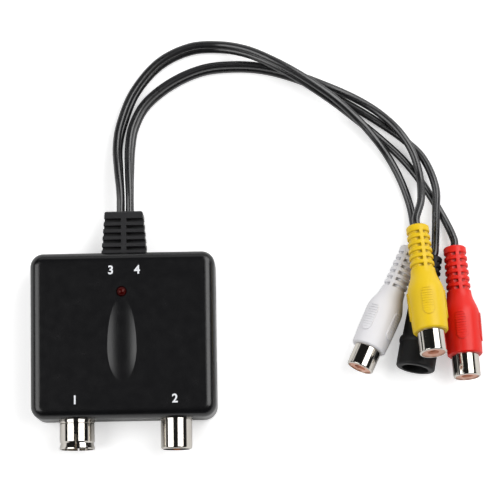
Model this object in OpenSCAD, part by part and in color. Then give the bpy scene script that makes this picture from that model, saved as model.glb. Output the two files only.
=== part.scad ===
// RF modulator: a two-shell plastic box with two aerial connectors at the front and, at the back, a
// moulded cable boot with four short leads that end in three phono jacks and one power socket.
// Origin: on the supporting surface, under the middle of the box with its connectors and boot.
// X runs to the right, Y from the aerial connectors to the cable boot, Z up. All sizes in millimetres.

/* [Housing] */
// Width of the housing
body_w = 56; // [54:0.5:62]
// Length of the housing from front wall to back wall
body_l = 50.4; // [49:0.2:58]
// Height of the closed housing
body_h = 15.6; // [15.2:0.1:18]
// Wall thickness of both shells
wall = 1.6; // [1.4:0.1:1.8]
// Radius of the upright corners
corner_r = 4; // [3.4:0.1:6]
// Radius of the rounded upper edge
top_edge_r = 3.1; // [2:0.1:3.3]
// Radius of the rounded lower edge
bottom_edge_r = 2; // [1.8:0.1:3]
// Thickness of the locating lip on the lower shell
lip_t = 0.7; // [0.5:0.05:0.9]
// Height of the locating lip above the seam
lip_h = 1.2; // [0.8:0.1:2]
// Length of each latch window along the side wall
latch_l = 7.1; // [5:0.1:9]
// Height of each latch window below the seam
latch_h = 1.9; // [1.4:0.1:2.4]
// Distance between the two latch windows of one side wall
latch_pitch = 23.4; // [16:0.2:28]
// Thickness of a latch tongue
tongue_t = 1; // [0.8:0.1:1.2]

/* [Top ornament and lamp] */
// Distance from the front wall to the rounded end of the raised leaf
leaf_inset = 11; // [8:0.2:16]
// Greatest width of the leaf
leaf_w = 8.8; // [6:0.2:11]
// Height of the leaf's crown above the top face
leaf_rise = 0.5; // [0.3:0.05:0.8]
// Distance from the lamp's axis to the leaf's pointed end
leaf_gap = 1.8; // [1.7:0.1:3]
// Diameter of the status lamp
led_d = 3; // [2:0.1:4]
// Length of the status lamp
led_l = 5.3; // [4:0.1:6]
// Height of the lamp's dome above the top face
led_rise = 0.9; // [0.3:0.1:1.4]
// Distance from the back wall to the lamp's axis
led_inset = 12.2; // [10:0.1:14]

/* [Aerial connectors] */
// Distance of the aerial input's axis from the left side wall
in_inset = 13.5; // [12.5:0.1:15]
// Distance of the aerial output's axis from the right side wall
out_inset = 12.4; // [11.5:0.1:15]
// Outer diameter of the input's sprung sleeve
in_d = 10.8; // [10.6:0.1:11]
// Bore of the input's sleeve, which takes the plug's sleeve
in_bore = 9.6; // [9.55:0.05:9.8]
// Reach of the input's sleeve in front of the housing
in_reach = 8.8; // [7.5:0.1:9]
// Outer diameter of the output's sleeve
out_d = 9.5; // [9.4:0.05:9.55]
// Bore of the output's sleeve
out_bore = 8.2; // [8:0.1:8.4]
// Reach of the output's sleeve in front of the housing
out_reach = 9.2; // [9:0.1:10]
// Diameter of the output's centre pin
pin_d = 2.35; // [2.3:0.05:2.4]
// Bore of the input's centre contact
contact_bore = 2.4; // [2.35:0.05:2.5]
// Outer diameter of the input's centre contact
contact_d = 3.4; // [3.2:0.1:3.8]
// Width of each slit in the sprung sleeve
slit_w = 0.5; // [0.3:0.1:0.8]
// Length of each slit in the sprung sleeve
slit_l = 4.4; // [3:0.1:6]
// Thickness of the flange that the housing traps
flange_t = 1.2; // [1:0.1:1.6]
// Width of the flange beyond the sleeve
flange_out = 0.6; // [0.4:0.1:0.7]

/* [Cable boot] */
// Length of the boot outside the housing
boot_l = 12.9; // [11:0.1:15]
// Width of the boot at the housing
boot_w = 13.6; // [13:0.1:15]
// Width of the boot at the cable end
boot_end_w = 11.6; // [10.5:0.1:12.5]
// Thickness of the boot at the housing
boot_t = 9.4; // [8.8:0.1:10]
// Thickness of the boot at the cable end
boot_end_t = 8.4; // [8:0.1:9]
// Thickness of the boot's solid middle
boot_core_t = 3; // [2.4:0.1:4]
// Width of the spine between the grooves
spine_w = 1.6; // [1.2:0.1:2.4]
// Width of each groove
groove_w = 1.1; // [0.8:0.05:1.3]
// Number of grooves on each side of the spine
groove_n = 5; // [4:1:6]
// Distance of the boot from the housing's middle
boot_offset = 0.4; // [0:0.1:2]

/* [Leads] */
// Diameter of each lead
cord_d = 2.4; // [2.2:0.05:2.45]
// Distance between leads side by side where they leave the boot
bundle_pitch_x = 2.8; // [2.6:0.1:3]
// Distance between leads one above the other where they leave the boot
bundle_pitch_z = 2.6; // [2.5:0.1:2.8]

/* [Phono jacks] */
// Length of a jack from its tail to its mouth
jack_l = 41; // [40:0.5:44]
// Length of the ribbed strain relief
relief_l = 14.5; // [14:0.1:15.5]
// Length of the grip
grip_l = 19.8; // [19:0.1:20.5]
// Diameter of the tail end
tail_d = 6.9; // [6.7:0.1:7.1]
// Diameter where the ribbed part meets the grip
relief_d = 7.5; // [7.3:0.1:7.8]
// Greatest diameter of the grip
grip_d = 11.2; // [10.8:0.1:11.3]
// Diameter of the grip at its rim
rim_d = 10.6; // [10.3:0.1:10.8]
// Width of each oval finger pad
pad_w = 3.4; // [3:0.1:4.5]
// Length of each oval finger pad
pad_l = 8.9; // [7:0.1:9.4]
// Height of a finger pad above the grip
pad_rise = 0.3; // [0.2:0.05:0.4]
// Number of slots along the strain relief
slot_n = 6; // [4:1:6]
// Width of each slot
slot_w = 0.9; // [0.6:0.05:1]
// Depth of each slot beside the spines
slot_depth = 1.1; // [0.8:0.1:1.3]
// Depth of each slot round the flanks
flank_depth = 0.5; // [0.3:0.05:0.7]
// Width of the two spines that part the slots
web_w = 1.1; // [0.9:0.1:1.6]
// Outer diameter of the plated barrel
barrel_d = 8.3; // [8.2:0.05:8.35]
// Bore of the plated barrel
barrel_bore = 7.1; // [6.8:0.1:7.3]
// Length of the barrel that the grip hides
barrel_hold = 7; // [5:0.1:9]
// Diameter of the hole in the insulator
phono_hole = 3.4; // [3.35:0.05:3.6]
// Bore of the centre contact, which takes the plug's pin
phono_bore = 3.2; // [3.15:0.05:3.3]
// Outer diameter of the centre contact
phono_contact_d = 4.4; // [4:0.1:4.8]

/* [Power socket] */
// Length of the power socket from its tail to its mouth
power_l = 36; // [35:0.5:38]
// Diameter of its tail end
power_tail_d = 5.4; // [5:0.1:5.5]
// Diameter of its strain relief where it meets the neck
power_relief_d = 6.6; // [6:0.1:7]
// Length of its strain relief
power_relief_l = 12; // [11:0.1:13]
// Diameter of its neck
power_neck_d = 11; // [10.6:0.1:11.1]
// Diameter of the collar round the body
power_collar_d = 12.4; // [12:0.1:12.6]
// Width of the collar
power_collar_w = 1.9; // [1.4:0.1:2.4]
// Diameter of the mouth section
power_d = 11.8; // [11.4:0.1:12]
// Length of the mouth section
power_mouth_l = 7.4; // [7:0.1:9]
// Diameter of the opening at the mouth
power_opening = 8.2; // [8:0.1:8.6]
// Depth of the opening down to the socket's face
power_recess = 5; // [4.6:0.1:5.4]
// Bore that takes the plug's barrel
power_bore = 5.7; // [5.6:0.05:5.9]
// Depth of that bore
power_bore_l = 9.4; // [9:0.1:10]
// Diameter of the centre pin
power_pin_d = 2.1; // [2:0.05:2.5]

/* [Circuit board and screening can] */
// Gap between the circuit board and the inside of each side wall
board_gap = 1.7; // [1.6:0.1:2.8]
// Thickness of the circuit board
board_t = 1.2; // [1:0.1:1.6]
// Height of the board's supports above the shell's floor
stand_h = 2.1; // [1.8:0.1:2.4]
// Diameter of the board's supports
stand_d = 4; // [3.4:0.1:5]
// Diameter of the locating pins
peg_d = 1.8; // [1.4:0.1:2.2]
// Distance of the can's sides from the ends of the circuit board
can_inset = 2.4; // [1.8:0.1:2.6]
// Depth of the screening can from front to back
can_l = 15.6; // [14:0.2:17]
// Sheet thickness of the screening can
sheet_t = 0.4; // [0.3:0.05:0.5]

/* [Hidden] */

// Overrun of cutting shapes, fit clearances and rounding counts
over = 0.5;
fit = 0.1;
hole_fit = 0.15;
seat = 0.05;
$fn = 48;

// Housing
seam_z = body_h / 2;
body_y = (out_reach - boot_l) / 2;
front_y = body_y - body_l / 2;
back_y = body_y + body_l / 2;
inner_front_y = front_y + wall;
inner_back_y = back_y - wall;
inner_x = body_w / 2 - wall;
ceiling_z = body_h - wall;
lip_clear = 0.1;
latch_ys = [body_y - latch_pitch / 2, body_y + latch_pitch / 2];
tongue_l = latch_l - 4 * fit;
tongue_tail = 1.1;
tongue_below = latch_h + tongue_tail;
tongue_above = 3.2;
tongue_nose = 0.9;
led_x = -0.2;
led_y = back_y - led_inset;
leaf_y = led_y - leaf_gap;
leaf_l = leaf_y - front_y - leaf_inset;
leaf_peak_share = 0.6;
leaf_steps = 12;

// Aerial connectors
in_x = in_inset - body_w / 2;
out_x = body_w / 2 - out_inset;
flange_y = inner_front_y + fit;
can_front_y = flange_y + flange_t;
in_lip_l = 1.4;
in_neck_l = 0.9;
in_neck_cut = 0.3;
in_collar_l = 0.7;
in_collar_cut = 0.25;
in_base_l = 3.2;
in_core_d = 6.4;
in_core_back = 2;
contact_back = 2.4;
contact_slot = 0.4;
contact_slot_l = 5;
out_edge_r = 0.6;
out_base_l = 3.6;
out_shoulder = 0.2;
out_shoulder_l = 0.3;
pin_back = 0.6;
shank_d = 1.9;
tail_pin_d = 0.9;
tail_pin_l = 1.4;
boss_d = 4;
boss_out = 0.6;
boss_l = sheet_t + boss_out;
in_seat_d = 7.4;
out_seat_d = 6.8;
out_disc_l = 1.2;
contact_foot = 0.8;
contact_floor = 0.8;
in_contact_floor = 2.2;

// Cable boot
boot_x = boot_offset;
boot_lean_l = 0.4;
boot_neck_w = 10.4;
boot_neck_t = 7;
boot_neck_r = 1.6;
boot_flange_w = 13;
boot_flange_t = 9.6;
boot_flange_l = 1.5;
boot_y = back_y + seat;
boot_end_y = back_y + boot_l;
groove_first = 0.9;
groove_pitch = (boot_l - groove_first - groove_w) / groove_n;
bundle_shift = 0.3;
exit_left_x = boot_x + bundle_shift - bundle_pitch_x / 2;
exit_right_x = boot_x + bundle_shift + bundle_pitch_x / 2;
exit_low_z = seam_z - bundle_pitch_z / 2;
exit_high_z = seam_z + bundle_pitch_z / 2;
exit_run = 5.8;

// Circuit board, its supports and the screening can
board_w = 2 * (inner_x - board_gap);
board_z = wall + stand_h;
board_top_z = board_z + board_t;
board_front_y = can_front_y + sheet_t + fit;
board_end_gap = 1.2;
board_back_y = inner_back_y - boot_flange_l - board_end_gap;
board_l = board_back_y - board_front_y;
stand_x = board_w / 2 - stand_d;
peg_gap = 0.8;
peg_ys = [board_front_y + can_l + stand_d / 2 + peg_gap, board_back_y - stand_d];
stand_ys = concat([board_front_y + stand_d], peg_ys);
press_post_d = 3.4;
can_x = (in_x + out_x) / 2;
can_w = board_w - 2 * can_inset;
can_gap = 0.2;
can_foot_gap = 0.5;
can_top_z = ceiling_z - sheet_t - can_gap;
can_low_z = wall + can_foot_gap;
can_back_y = can_front_y + can_l;
lid_skirt_h = 2;
lid_hole_d = 3;
chip_lift = 0.1;
chip_h = 1.6;
chip_leg_w = 0.4;
chip_leg_t = 0.2;
chip_leg_l = 0.7;
chip_foot_l = 0.6;
chip_leg_pitch = 1.27;
modulator_w = 3.9;
modulator_l = 9.9;
modulator_legs = 8;
modulator_share = 0.34;
modulator_y = can_front_y + can_l * modulator_share;
coil_w = 5;
coil_h = 7;
coil_core_d = 2.6;
coil_core_depth = 1.6;
coil_xs = [can_x - can_w / 4, can_x, can_x + can_w / 4];
coil_share = 0.72;
coil_y = can_front_y + can_l * coil_share;

// Parts on the rear half of the board
rear_y = can_back_y + fit;
rear_l = board_back_y - rear_y;
control_w = 3.9;
control_l = 4.9;
control_legs = 4;
control_shares = [-0.25, 0.55];
crystal_w = 11;
crystal_t = 4.6;
crystal_h = 3.6;
crystal_shares = [-0.2, 0.2];
regulator_w = 6.5;
regulator_l = 3.5;
regulator_h = 1.7;
regulator_tab_l = 1.7;
regulator_tab_t = 0.3;
regulator_leg_l = 1.8;
regulator_leg_pitch = 2.3;
regulator_shares = [0.1, 0.2];
can_cap_d = 5;
can_cap_h = 6.4;
can_cap_base = 1;
can_cap_x_shares = [0.18, 0.31];
can_cap_y_shares = [0.45, 0.72];
chip_part_l = 1.6;
chip_part_w = 0.8;
chip_part_h = 0.6;
chip_part_n = 5;
chip_part_pitch = 2;
chip_part_x_share = -0.22;
chip_part_y_shares = [0.76, 0.86];
led_rim_h = 1;
led_rim_out = 0.8;
led_leg_t = 0.5;
led_leg_pitch = 2.54;

// Inner wires between the boot and the board
wire_n = 4;
wire_d = 0.8;
wire_pitch = 1.9;
wire_bend_r = 1;
wire_inset = 1.4;
wire_row_gap = 1.5;

// Phono jacks: where each tail lies, how far it turns from -Y and rises, and its own roll
relief_slot_first = 2.7;
relief_slot_last = 0.95;
relief_slot_pitch = (relief_l - relief_slot_first - relief_slot_last) / (slot_n - 1);
slot_flare = 0.25;
web_turn = 14;
jack_edge_r = 0.4;
swell_l = 7.4;
swell_steps = 8;
crown_steps = 6;
pad_mid = 25.8;
pad_ridge_n = 10;
pad_ridge_w = 0.4;
rim_start = relief_l + grip_l;
barrel_edge_r = 0.35;
barrel_root_cut = 0.2;
insulator_back = 0.3;
insulator_l = 9;
phono_contact_back = 0.9;
phono_contact_l = 6;
white_tail = [88.1, 24, 3.5];
white_turn = -24.5;
white_lift = 8.8;
white_roll = 36;
yellow_tail = [89.7, 29.8, 11];
yellow_turn = 5;
yellow_lift = 13.5;
yellow_roll = 0;
red_tail = [101.3, 24.3, 3.5];
red_turn = 3.4;
red_lift = 8.8;
red_roll = 6;
power_tail = [94.9, 21.7, 2.75];
power_turn = -11;
power_lift = 8.8;
power_roll = 0;
tail_run = 3;

// Power socket
power_slot_n = 5;
power_slot_first = 2.2;
power_slot_pitch = (power_relief_l - power_slot_first) / power_slot_n;
power_swell_l = 5;
power_neck_start_share = 0.95;
power_edge_r = 0.7;
power_insert_d = 9.2;
power_insert_l = 12;
power_pin_back = 0.8;

// Routes of the four leads between the boot and their jacks, chosen by hand
cord_sides = 8;
white_route = [
    [-1.5, 50, 7.8], [-2, 57.5, 5.4], [-0.8, 65.3, 4], [3.3, 75.1, 3.8],
    [11, 84.1, 3.8], [20.6, 88.8, 3.8], [30, 89.3, 4], [38.5, 87.1, 6.8],
    [46.5, 83.1, 9.1], [55, 78.2, 9.1], [64.6, 71.7, 7.6], [72.2, 65.2, 4.6],
    [77.8, 58.7, 3.7], [82.1, 52.6, 2], [85.8, 45.1, 1.3], [88.4, 36.5, 1.5]
];
red_route = [
    [-1.1, 50, 5], [-1.4, 57.5, 2.9], [0, 65, 1.4], [4.1, 75, 1.3],
    [11.5, 83.4, 1.3], [20.8, 87.9, 1.3], [30, 88.4, 1.5], [38.2, 86.3, 4.2],
    [46.2, 82.4, 6.5], [55, 77.2, 6.5], [64.4, 70.9, 5], [72.1, 65.3, 2],
    [79.5, 59.1, 1.3], [86.6, 52.1, 1.3], [92.8, 43.7, 1.3], [98.3, 34, 1.6]
];
yellow_route = [
    [1.8, 50, 7.8], [1.8, 57.5, 5.4], [3, 64.5, 4], [7, 71.6, 3.8],
    [15, 77.9, 3.8], [24.5, 81.9, 3.8], [34, 82.9, 3.8], [43.5, 82.2, 3.7],
    [53, 79.7, 3.7], [62.4, 76, 3.7], [71.2, 72.1, 2.7], [78.7, 67.4, 2.6],
    [85.1, 61, 4], [89.3, 54, 4], [91.2, 46, 5], [91.2, 38.6, 8.2]
];
power_route = [
    [2.2, 50, 5], [2.5, 57.5, 2.9], [3.7, 64.2, 1.4], [7.5, 71, 1.3],
    [15.3, 77.2, 1.3], [24.5, 81.2, 1.3], [34, 82.2, 1.3], [43.5, 81.5, 1.2],
    [53, 78.8, 1.2], [61.9, 74.9, 1.2], [70.3, 70, 1.2], [78.7, 64.6, 1.2],
    [86.6, 58.8, 1.3], [92.5, 52.5, 2.4], [95.9, 43.4, 4.3], [95.9, 35.5, 3.9]
];

// Materials, as plain colours
black_plastic = "#1c1c1e";
black_rubber = "#232325";
nickel = "#cfcdc8";
tin = "#b9bab8";
brass = "#c9a35a";
board_green = "#1f6a3c";
chip_black = "#26262a";
amber_insulator = "#c87850";
cream_insulator = "#e6dfcc";

// Small helpers
function unit(v) = v / norm(v);
function axis_of(turn, lift) = [sin(turn) * cos(lift), -cos(turn) * cos(lift), sin(lift)];
function tangent(path, i) = unit(path[min(i + 1, len(path) - 1)] - path[max(i - 1, 0)]);
function ring(path, i, r) =
    let (along = tangent(path, i), side = unit(cross(along, [0, 0, 1])), up = cross(side, along))
    [for (k = [0:cord_sides - 1])
        let (a = (k + 1 / 2) * 360 / cord_sides) path[i] + r * (cos(a) * side + sin(a) * up)];
function lead_path(x, z, route, tail, turn, lift) = concat(
    [[x, boot_end_y, z], [x, boot_end_y + exit_run, z]],
    route,
    [tail - tail_run * axis_of(turn, lift), tail]
);

// A tube swept along a path, with a flat ring at each point
module tube(path, d) {
    n = len(path);
    sides = cord_sides;
    points = [for (i = [0:n - 1]) each ring(path, i, d / 2)];
    walls = [for (i = [0:n - 2], k = [0:sides - 1])
        let (a = i * sides + k, b = i * sides + (k + 1) % sides)
        each [[a, b, a + sides], [b, b + sides, a + sides]]];
    start = [for (k = [1:sides - 2]) [0, k + 1, k]];
    last = (n - 1) * sides;
    end = [for (k = [1:sides - 2]) [last, last + k, last + k + 1]];
    polyhedron(points, concat(start, walls, end), convexity = 10);
}

// Half profile of a shell: a rectangle with its two upper corners rounded
module rounded_top_profile(w, h, r) {
    translate([-w / 2, 0]) square([w, h - r]);
    translate([r - w / 2, 0]) square([w - 2 * r, h]);
    for (side = [-1, 1]) translate([side * (w / 2 - r), h - r]) circle(r);
}

// A block with round upright corners and a rounded upper edge, standing on z = 0
module shell_block(w, l, h, corner, edge) {
    for (x = [-1, 1], y = [-1, 1])
        translate([x * (w / 2 - corner), y * (l / 2 - corner), 0])
            rotate_extrude() intersection() {
                rounded_top_profile(2 * corner, h, edge);
                square([corner, h]);
            }
    translate([0, l / 2 - corner, 0]) rotate([90, 0, 0])
        linear_extrude(l - 2 * corner) rounded_top_profile(w, h, edge);
    translate([corner - w / 2, 0, 0]) rotate([90, 0, 90])
        linear_extrude(w - 2 * corner) rounded_top_profile(l, h, edge);
}

// A hollow half shell, open below
module half_shell(h, edge) {
    difference() {
        shell_block(body_w, body_l, h, corner_r, edge);
        translate([0, 0, -over])
            shell_block(body_w - 2 * wall, body_l - 2 * wall, h - wall + over, corner_r - wall, edge - wall);
    }
}

// Upright band that follows the inner wall, from z = 0 up to h
module wall_band(outset, inset, h) {
    difference() {
        plain_block(body_w - 2 * wall + 2 * outset, body_l - 2 * wall + 2 * outset, h,
            corner_r - wall + outset);
        translate([0, 0, -over])
            plain_block(body_w - 2 * wall - 2 * inset, body_l - 2 * wall - 2 * inset, h + 2 * over,
                corner_r - wall - inset);
    }
}

// A block with round upright corners and sharp rims
module plain_block(w, l, h, r) {
    for (x = [-1, 1], y = [-1, 1])
        translate([x * (w / 2 - r), y * (l / 2 - r), 0]) cylinder(h = h, r = r);
    translate([-w / 2, r - l / 2, 0]) cube([w, l - 2 * r, h]);
    translate([r - w / 2, -l / 2, 0]) cube([w - 2 * r, l, h]);
}

// A rod along Y from y0 to y1 at the height of the seam
module seam_rod(x, y0, y1, d) {
    translate([x, y0, seam_z]) rotate([-90, 0, 0]) cylinder(h = y1 - y0, d = d);
}

// A flat bar along Y with round corners, centred on the boot
module boot_bar(y0, y1, w, t, r) {
    for (x = [-1, 1], z = [-1, 1])
        translate([boot_x + x * (w / 2 - r), y0, seam_z + z * (t / 2 - r)])
            rotate([-90, 0, 0]) cylinder(h = y1 - y0, r = r);
    translate([boot_x - w / 2, y0, seam_z + r - t / 2]) cube([w, y1 - y0, t - 2 * r]);
    translate([boot_x + r - w / 2, y0, seam_z - t / 2]) cube([w - 2 * r, y1 - y0, t]);
}

// Openings that both shells share at the seam: two sleeves and the boot's neck
module seam_openings() {
    seam_rod(in_x, front_y - over, inner_front_y + over, in_d + 2 * hole_fit);
    seam_rod(out_x, front_y - over, inner_front_y + over, out_d + 2 * out_shoulder + 2 * hole_fit);
    boot_bar(inner_back_y - over, back_y + over, boot_neck_w + 2 * fit, boot_neck_t + 2 * fit, boot_neck_r);
}

module at_latches() {
    for (side = [0, 1], y = latch_ys) translate([0, y, 0]) mirror([side, 0, 0]) children();
}

module bottom_cover() {
    color(black_plastic) {
        difference() {
            union() {
                translate([0, body_y, seam_z]) mirror([0, 0, 1]) half_shell(seam_z, bottom_edge_r);
                translate([0, body_y, seam_z - lip_h]) wall_band(lip_t, 0, 2 * lip_h);
            }
            seam_openings();
            at_latches() translate([inner_x - over, -latch_l / 2, seam_z - latch_h])
                cube([wall + 2 * over, latch_l, latch_h + lip_h + over]);
        }
        for (x = [-stand_x, stand_x], y = stand_ys)
            translate([x, y, wall - over]) cylinder(h = board_z - wall + over, d = stand_d);
        for (x = [-stand_x, stand_x], y = peg_ys)
            translate([x, y, board_z - over]) cylinder(h = board_t + over, d = peg_d);
    }
}

// The leaf on the top face: the cap of a long spindle that lies just under the face
function leaf_radius(w, rise) = (w * w / 4 + rise * rise) / (2 * rise);
function leaf_bulge(t) = t < leaf_peak_share
    ? 1 - pow(1 - t / leaf_peak_share, 2)
    : 1 - pow((t - leaf_peak_share) / (1 - leaf_peak_share), 2);
module leaf() {
    sunk = leaf_radius(leaf_w, leaf_rise) - leaf_rise;
    skin = [for (i = [0:2 * leaf_steps])
        let (t = i / (2 * leaf_steps)) [sunk + leaf_rise * leaf_bulge(t), -leaf_l * t]];
    intersection() {
        translate([led_x, leaf_y, body_h - sunk]) rotate([-90, 0, 0])
            rotate_extrude($fn = 180) polygon(concat([[0, 0]], skin, [[0, -leaf_l]]));
        translate([led_x - leaf_w, leaf_y - leaf_l - over, body_h - wall / 2])
            cube([2 * leaf_w, leaf_l + 2 * over, wall]);
    }
}

module top_cover() {
    color(black_plastic) {
        difference() {
            union() {
                translate([0, body_y, seam_z]) half_shell(body_h - seam_z, top_edge_r);
                leaf();
            }
            translate([0, body_y, seam_z - over])
                wall_band(lip_t + lip_clear, 0, lip_h + lip_clear + over);
            seam_openings();
            translate([led_x, led_y, ceiling_z - over])
                cylinder(h = wall + 2 * over, d = led_d + 2 * fit);
        }
        for (x = [-stand_x, stand_x], y = peg_ys)
            translate([x, y, board_top_z + fit])
                cylinder(h = ceiling_z - board_top_z - fit + over, d = press_post_d);
        at_latches() latch_tongue();
    }
}

// A springy tongue that hangs from the upper shell, with a nose that fills a latch window
module latch_tongue() {
    tongue_x = inner_x - fit;
    root_z = seam_z + lip_h + lip_clear + fit;
    translate([tongue_x - tongue_t, -tongue_l / 2, seam_z - tongue_below])
        cube([tongue_t, tongue_l, tongue_below + tongue_above]);
    translate([tongue_x - tongue_t, -tongue_l / 2, root_z])
        cube([tongue_t + 3 * fit, tongue_l, seam_z + tongue_above - root_z]);
    translate([tongue_x - tongue_t / 2, tongue_l / 2, seam_z - latch_h + fit]) rotate([90, 0, 0])
        linear_extrude(tongue_l) polygon([[0, 0], [tongue_t / 2 + fit, 0],
            [tongue_t / 2 + tongue_nose, latch_h / 2], [tongue_t / 2 + tongue_nose, latch_h - 2 * fit],
            [0, latch_h - 2 * fit]]);
}

module circuit_board() {
    color(board_green) difference() {
        translate([-board_w / 2, board_front_y, board_z]) cube([board_w, board_l, board_t]);
        for (x = [-stand_x, stand_x], y = peg_ys)
            translate([x, y, board_z - over]) cylinder(h = board_t + 2 * over, d = peg_d + 2 * fit);
    }
}

module screening_can() {
    color(tin) {
        difference() {
            translate([can_x - can_w / 2, can_front_y, can_low_z])
                cube([can_w, sheet_t, can_top_z - can_low_z]);
            for (x = [in_x, out_x])
                seam_rod(x, can_front_y - over, can_front_y + sheet_t + over, boss_d + 2 * fit);
        }
        translate([0, 0, board_top_z]) difference() {
            translate([can_x - can_w / 2, can_front_y, 0]) cube([can_w, can_l, can_top_z - board_top_z]);
            translate([can_x - can_w / 2 + sheet_t, can_front_y - over, -over])
                cube([can_w - 2 * sheet_t, can_l - sheet_t + over, can_top_z - board_top_z + 2 * over]);
        }
    }
}

module can_lid() {
    skirt_w = can_w - 2 * sheet_t - 2 * fit;
    skirt_l = can_l - 2 * sheet_t - 2 * fit;
    color(tin) difference() {
        union() {
            translate([can_x - can_w / 2, can_front_y, can_top_z]) cube([can_w, can_l, sheet_t]);
            translate([can_x - skirt_w / 2, can_front_y + sheet_t + fit, can_top_z - lid_skirt_h])
                cube([skirt_w, skirt_l, lid_skirt_h + sheet_t / 2]);
        }
        translate([
            can_x - skirt_w / 2 + sheet_t, can_front_y + 2 * sheet_t + fit, can_top_z - lid_skirt_h - over
        ]) cube([skirt_w - 2 * sheet_t, skirt_l - 2 * sheet_t, lid_skirt_h + over]);
        for (x = coil_xs) translate([x, coil_y, can_top_z - over])
            cylinder(h = sheet_t + 2 * over, d = lid_hole_d);
    }
}

// A surface-mount chip with gull-wing legs along its two long sides
module gull_chip(w, l, h, legs) {
    translate([-w / 2, -l / 2, chip_lift]) cube([w, l, h]);
    for (side = [-1, 1], i = [0:legs - 1]) {
        y = (i - (legs - 1) / 2) * chip_leg_pitch - chip_leg_w / 2;
        inner = side > 0 ? w / 2 - over : -w / 2 - chip_leg_l;
        translate([inner, y, chip_lift + h / 2]) cube([chip_leg_l + over, chip_leg_w, chip_leg_t]);
        translate([side * (w / 2 + chip_leg_l) - (side > 0 ? chip_leg_t : 0), y, 0])
            cube([chip_leg_t, chip_leg_w, chip_lift + h / 2 + chip_leg_t]);
        translate([side * (w / 2 + chip_leg_l) - (side > 0 ? 0 : chip_foot_l), y, 0])
            cube([chip_foot_l, chip_leg_w, chip_leg_t]);
    }
}

module modulator_chip() {
    color(chip_black) translate([can_x, modulator_y, board_top_z]) rotate([0, 0, 90])
        gull_chip(modulator_w, modulator_l, chip_h, modulator_legs);
}

// A place on the rear half of the board, as shares of its width and of the rear length
module at_rear(x_share, y_share) {
    translate([board_w * x_share, rear_y + rear_l * y_share, board_top_z]) children();
}

module control_chip() {
    color(chip_black) at_rear(control_shares[0], control_shares[1])
        gull_chip(control_w, control_l, chip_h, control_legs);
}

module crystal() {
    color(tin) at_rear(crystal_shares[0], crystal_shares[1]) {
        for (side = [-1, 1]) translate([side * (crystal_w - crystal_t) / 2, 0, 0])
            cylinder(h = crystal_h, d = crystal_t);
        translate([(crystal_t - crystal_w) / 2, -crystal_t / 2, 0])
            cube([crystal_w - crystal_t, crystal_t, crystal_h]);
    }
}

module voltage_regulator() {
    color(chip_black) at_rear(regulator_shares[0], regulator_shares[1]) {
        translate([-regulator_w / 2, -regulator_l / 2, 0]) cube([regulator_w, regulator_l, regulator_h]);
        translate([-regulator_w / 2, regulator_l / 2 - over, 0])
            cube([regulator_w, regulator_tab_l + over, regulator_tab_t]);
        for (i = [-1:1])
            translate([i * regulator_leg_pitch - chip_leg_w, -regulator_l / 2 - regulator_leg_l, 0])
                cube([2 * chip_leg_w, regulator_leg_l + over, regulator_tab_t]);
    }
}

module electrolytic_capacitors() {
    color("#2b3a55") for (x = can_cap_x_shares, y = can_cap_y_shares) at_rear(x, y) {
        translate([-can_cap_d / 2, -can_cap_d / 2, 0]) cube([can_cap_d, can_cap_d, can_cap_base]);
        cylinder(h = can_cap_h, d = can_cap_d);
    }
}

module chip_parts() {
    color("#8c7a5c") for (i = [0:chip_part_n - 1], y = chip_part_y_shares) at_rear(chip_part_x_share, y)
        translate([(i - (chip_part_n - 1) / 2) * chip_part_pitch - chip_part_l / 2, -chip_part_w / 2, 0])
            cube([chip_part_l, chip_part_w, chip_part_h]);
}

module tuning_coils() {
    color(tin) for (x = coil_xs) translate([x, coil_y, board_top_z]) difference() {
        translate([-coil_w / 2, -coil_w / 2, 0]) cube([coil_w, coil_w, coil_h]);
        translate([0, 0, coil_h - coil_core_depth]) cylinder(h = coil_core_depth + over, d = coil_core_d);
    }
}

module status_lamp() {
    dome_z = body_h + led_rise - led_d / 2;
    low_z = body_h + led_rise - led_l;
    color("#7a1014") translate([led_x, led_y, 0]) {
        translate([0, 0, dome_z]) sphere(d = led_d);
        translate([0, 0, low_z]) cylinder(h = dome_z - low_z, d = led_d);
        translate([0, 0, low_z]) cylinder(h = led_rim_h, d = led_d + led_rim_out);
    }
}

module lamp_legs() {
    low_z = body_h + led_rise - led_l;
    color(tin) for (side = [-1, 1])
        translate([led_x + side * led_leg_pitch / 2 - led_leg_t / 2, led_y - led_leg_t / 2, board_top_z])
            cube([led_leg_t, led_leg_t, low_z - board_top_z]);
}

// One inner wire: out of the boot, round a bend and down to the board
module lead_wire(x, z, y_end) {
    start_y = inner_back_y - boot_flange_l;
    translate([x, y_end + wire_bend_r, z]) rotate([-90, 0, 0])
        cylinder(h = start_y - y_end - wire_bend_r, d = wire_d, $fn = 24);
    translate([x, y_end + wire_bend_r, z - wire_bend_r]) rotate([0, -90, 0]) rotate([0, 0, -90])
        rotate_extrude(angle = 90) translate([wire_bend_r, 0]) circle(d = wire_d, $fn = 24);
    translate([x, y_end, board_top_z])
        cylinder(h = z - wire_bend_r - board_top_z, d = wire_d, $fn = 24);
}

module lead_wires() {
    color("#a03028") for (i = [0:wire_n - 1]) {
        x = boot_x + (i - (wire_n - 1) / 2) * wire_pitch;
        lead_wire(x, exit_low_z, board_back_y - wire_inset);
        lead_wire(x, exit_high_z, board_back_y - wire_inset - wire_row_gap);
    }
}

// Revolved aerial parts: local z = 0 at the flange's rear face, growing towards the mouth
module at_aerial(x) {
    translate([x, can_front_y, seam_z]) rotate([90, 0, 0]) children();
}

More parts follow.
